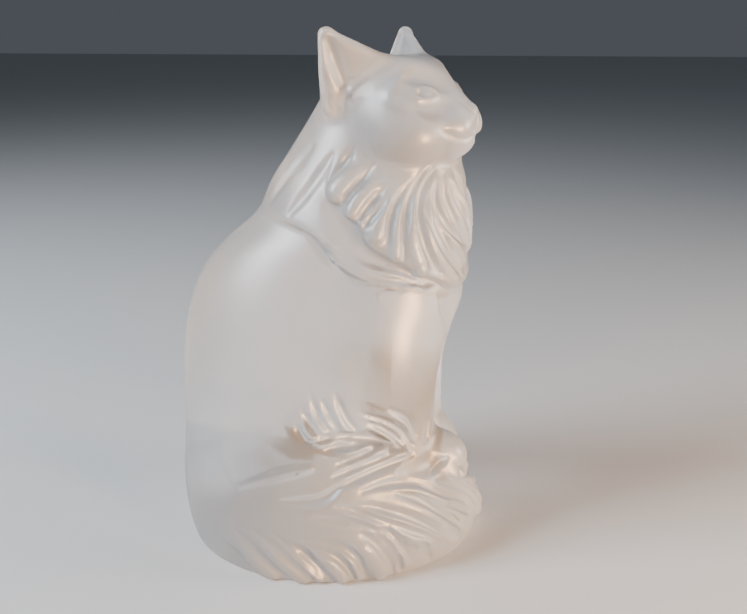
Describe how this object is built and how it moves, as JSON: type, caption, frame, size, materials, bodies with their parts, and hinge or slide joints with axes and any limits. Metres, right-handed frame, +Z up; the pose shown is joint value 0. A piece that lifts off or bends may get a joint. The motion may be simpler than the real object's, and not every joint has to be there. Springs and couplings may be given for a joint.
{
  "type": "crystal glass figurine",
  "caption": "Seated long-haired cat looking up, a solid satin-frosted crystal casting with a brush tail wrapped round its right side",
  "frame": {"origin": "on the ground plane, at the middle of the flat base under the cat", "axes": "+Z up, the cat faces -Y, its right side is towards -X"},
  "size_m": [0.0445, 0.0573, 0.0924],
  "materials": {
    "satin_crystal": "satin frosted"
  },
  "bodies": {
    "root": {"trunk": "satin_crystal", "neck_mane": "satin_crystal", "chest_ruff": "satin_crystal", "head": "satin_crystal", "right_ear": "satin_crystal", "left_ear": "satin_crystal", "right_foreleg": "satin_crystal", "left_foreleg": "satin_crystal", "right_forepaw": "satin_crystal", "left_forepaw": "satin_crystal", "right_haunch": "satin_crystal", "left_haunch": "satin_crystal", "left_hind_paw": "satin_crystal", "right_flank_fur": "satin_crystal", "left_flank_fur": "satin_crystal", "tail": "satin_crystal"}
  },
  "joints": []
}
